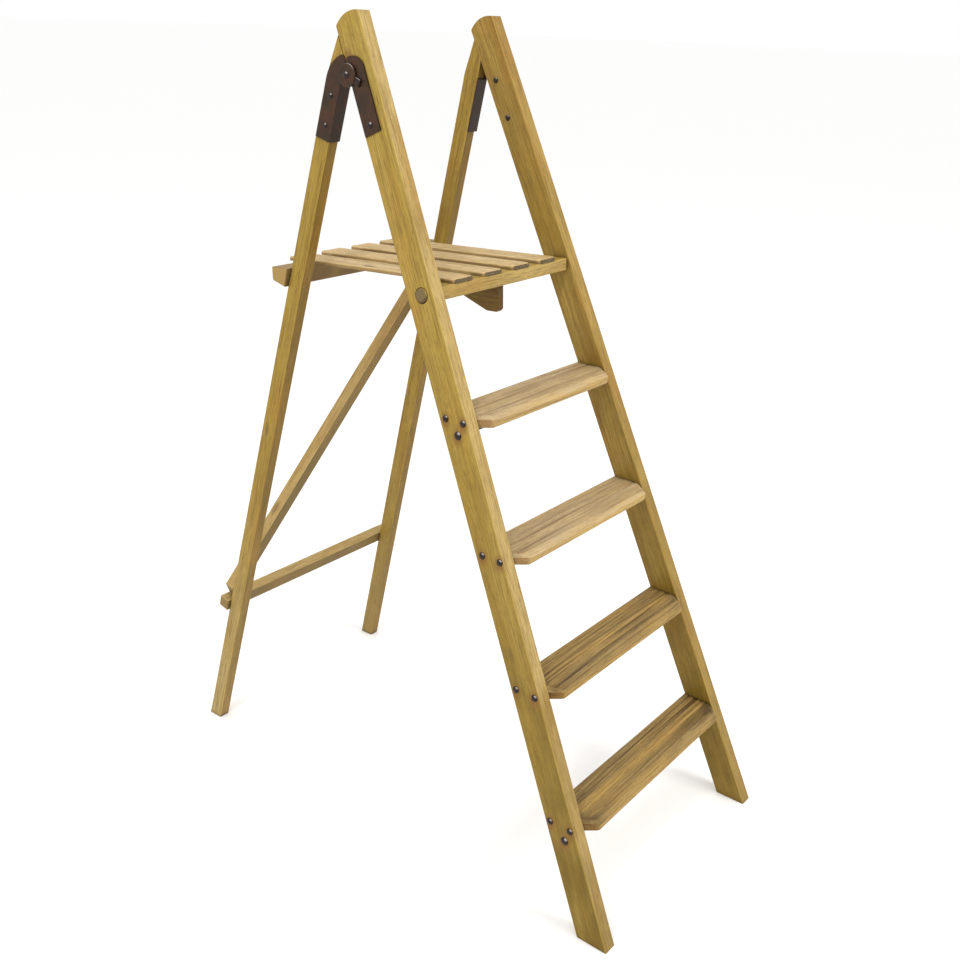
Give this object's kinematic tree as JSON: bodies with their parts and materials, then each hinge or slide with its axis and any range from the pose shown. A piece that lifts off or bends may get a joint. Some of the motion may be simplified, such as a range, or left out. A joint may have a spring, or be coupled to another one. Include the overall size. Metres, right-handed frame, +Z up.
{
  "type": "library ladder",
  "caption": "Folding wooden library ladder with flat treads, a slatted top platform and a hinged rear frame with a diagonal brace.",
  "frame": {"origin": "on the floor, in the middle of the outline of the four feet", "axes": "+X to the right of a person climbing, +Y from the treads' side towards the rear frame, +Z up"},
  "size_m": [0.5654, 1.0992, 1.5156],
  "materials": {
    "stile_wood": "varnished, golden ochre",
    "tread_wood": "worn and greyed",
    "slat_wood": "pale, worn",
    "hinge_steel": "old dark paint, rust at the edges",
    "fixing_steel": "dull, oxidised"
  },
  "bodies": {
    "front_frame": {"hinge_left_stile_bolts": "fixing_steel", "hinge_left_stile_leaf": "hinge_steel", "hinge_right_stile_bolts": "fixing_steel", "hinge_right_stile_leaf": "hinge_steel", "left_stile": "stile_wood", "right_stile": "stile_wood", "tie_rod_lower": "fixing_steel", "tie_rod_upper": "fixing_steel", "tread_1": "tread_wood", "tread_1_screws": "fixing_steel", "tread_2": "tread_wood", "tread_2_screws": "fixing_steel", "tread_3": "tread_wood", "tread_3_screws": "fixing_steel", "tread_4": "tread_wood", "tread_4_screws": "fixing_steel"},
    "rear_frame": {"diagonal_brace": "stile_wood", "diagonal_brace_screws": "fixing_steel", "hinge_left_leg_leaf": "hinge_steel", "hinge_left_leg_screws": "fixing_steel", "hinge_left_pin": "fixing_steel", "hinge_right_leg_leaf": "hinge_steel", "hinge_right_leg_screws": "fixing_steel", "hinge_right_pin": "fixing_steel", "rear_crossbar": "stile_wood", "rear_crossbar_screws": "fixing_steel", "rear_leg_left": "stile_wood", "rear_leg_right": "stile_wood"},
    "platform": {"platform_bearer": "stile_wood", "platform_pivot_rail": "stile_wood", "platform_rear_rail": "stile_wood", "slat_1": "slat_wood", "slat_2": "slat_wood", "slat_3": "slat_wood", "slat_4": "slat_wood", "slat_screws_front": "fixing_steel", "slat_screws_rear": "fixing_steel"}
  },
  "joints": [
    {"name": "rear_frame_fold", "type": "hinge", "parent": "front_frame", "child": "rear_frame", "pos_m": [0, 0.1439, 1.4133], "axis": [-1, 0, 0], "range_deg": [0, 38]},
    {"name": "platform_lift", "type": "hinge", "parent": "front_frame", "child": "platform", "pos_m": [0, -0.0416, 1.0735], "axis": [1, 0, 0], "range_deg": [0, 51]}
  ],
  "couplings": [
    {"joint": "platform_lift", "follows": "rear_frame_fold", "ratio": 1.34}
  ]
}
